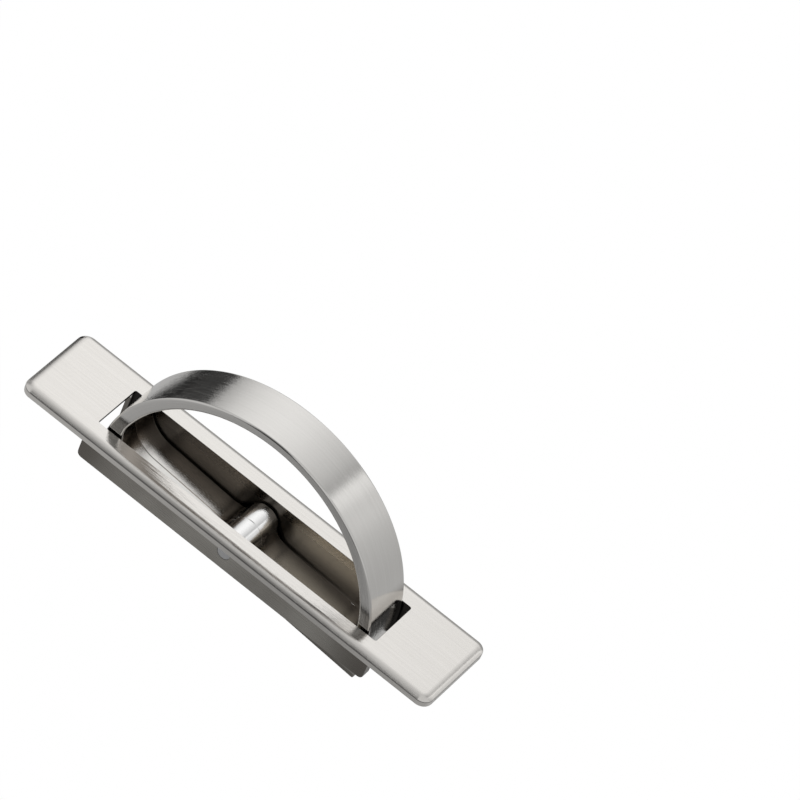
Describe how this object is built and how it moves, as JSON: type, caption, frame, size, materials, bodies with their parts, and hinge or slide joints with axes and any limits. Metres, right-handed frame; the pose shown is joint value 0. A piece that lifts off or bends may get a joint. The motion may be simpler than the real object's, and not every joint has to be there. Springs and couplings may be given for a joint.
{
  "type": "recessed pull handle",
  "caption": "Recessed pull handle for a door or a drawer front: a long brushed cover plate with a D-shaped handle that turns right over on a cross pin in its window.",
  "frame": {"origin": "centre of the plane on the underside of the cover plate that seats on the panel", "axes": "+X along the plate, towards the end that the leaning handle dips to; +Y across the plate; +Z out of the panel, towards the hand"},
  "size_m": [0.15, 0.0306, 0.0613],
  "materials": {
    "brushed_nickel": "brushed nickel plating on a zinc casting, grain along the plate and round the arch",
    "pin_steel": "turned steel",
    "washer_nylon": "black nylon"
  },
  "bodies": {
    "frame": {"frame": "brushed_nickel", "pivot_pin": "pin_steel", "washer_near": "washer_nylon", "washer_far": "washer_nylon"},
    "handle": {"flip_handle": "brushed_nickel"}
  },
  "joints": [
    {"name": "handle_turn", "type": "hinge", "parent": "frame", "child": "handle", "pos_m": [0, 0, -0.00525], "axis": [0, 1, 0], "continuous": true}
  ]
}
